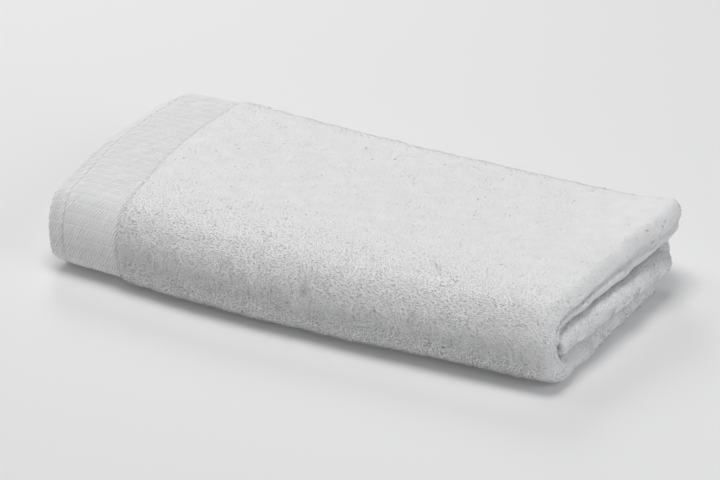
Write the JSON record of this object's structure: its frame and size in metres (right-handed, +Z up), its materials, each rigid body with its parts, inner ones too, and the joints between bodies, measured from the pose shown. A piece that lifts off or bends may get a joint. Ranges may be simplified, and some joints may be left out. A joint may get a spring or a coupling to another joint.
{
  "type": "folded face towel",
  "caption": "Folded terry face towel with a flat woven border and a sewn hem, lying flat with its folded edges to the front and side.",
  "frame": {"origin": "on the surface the towel lies on, under the middle of its outline", "axes": "+X along the towel's long side towards the folded end, +Y from the rounded front fold to the back, +Z up"},
  "size_m": [0.3494, 0.1808, 0.056],
  "materials": {
    "terry": "white cotton terry, matt"
  },
  "bodies": {
    "root": {"towel": "terry"}
  },
  "joints": []
}
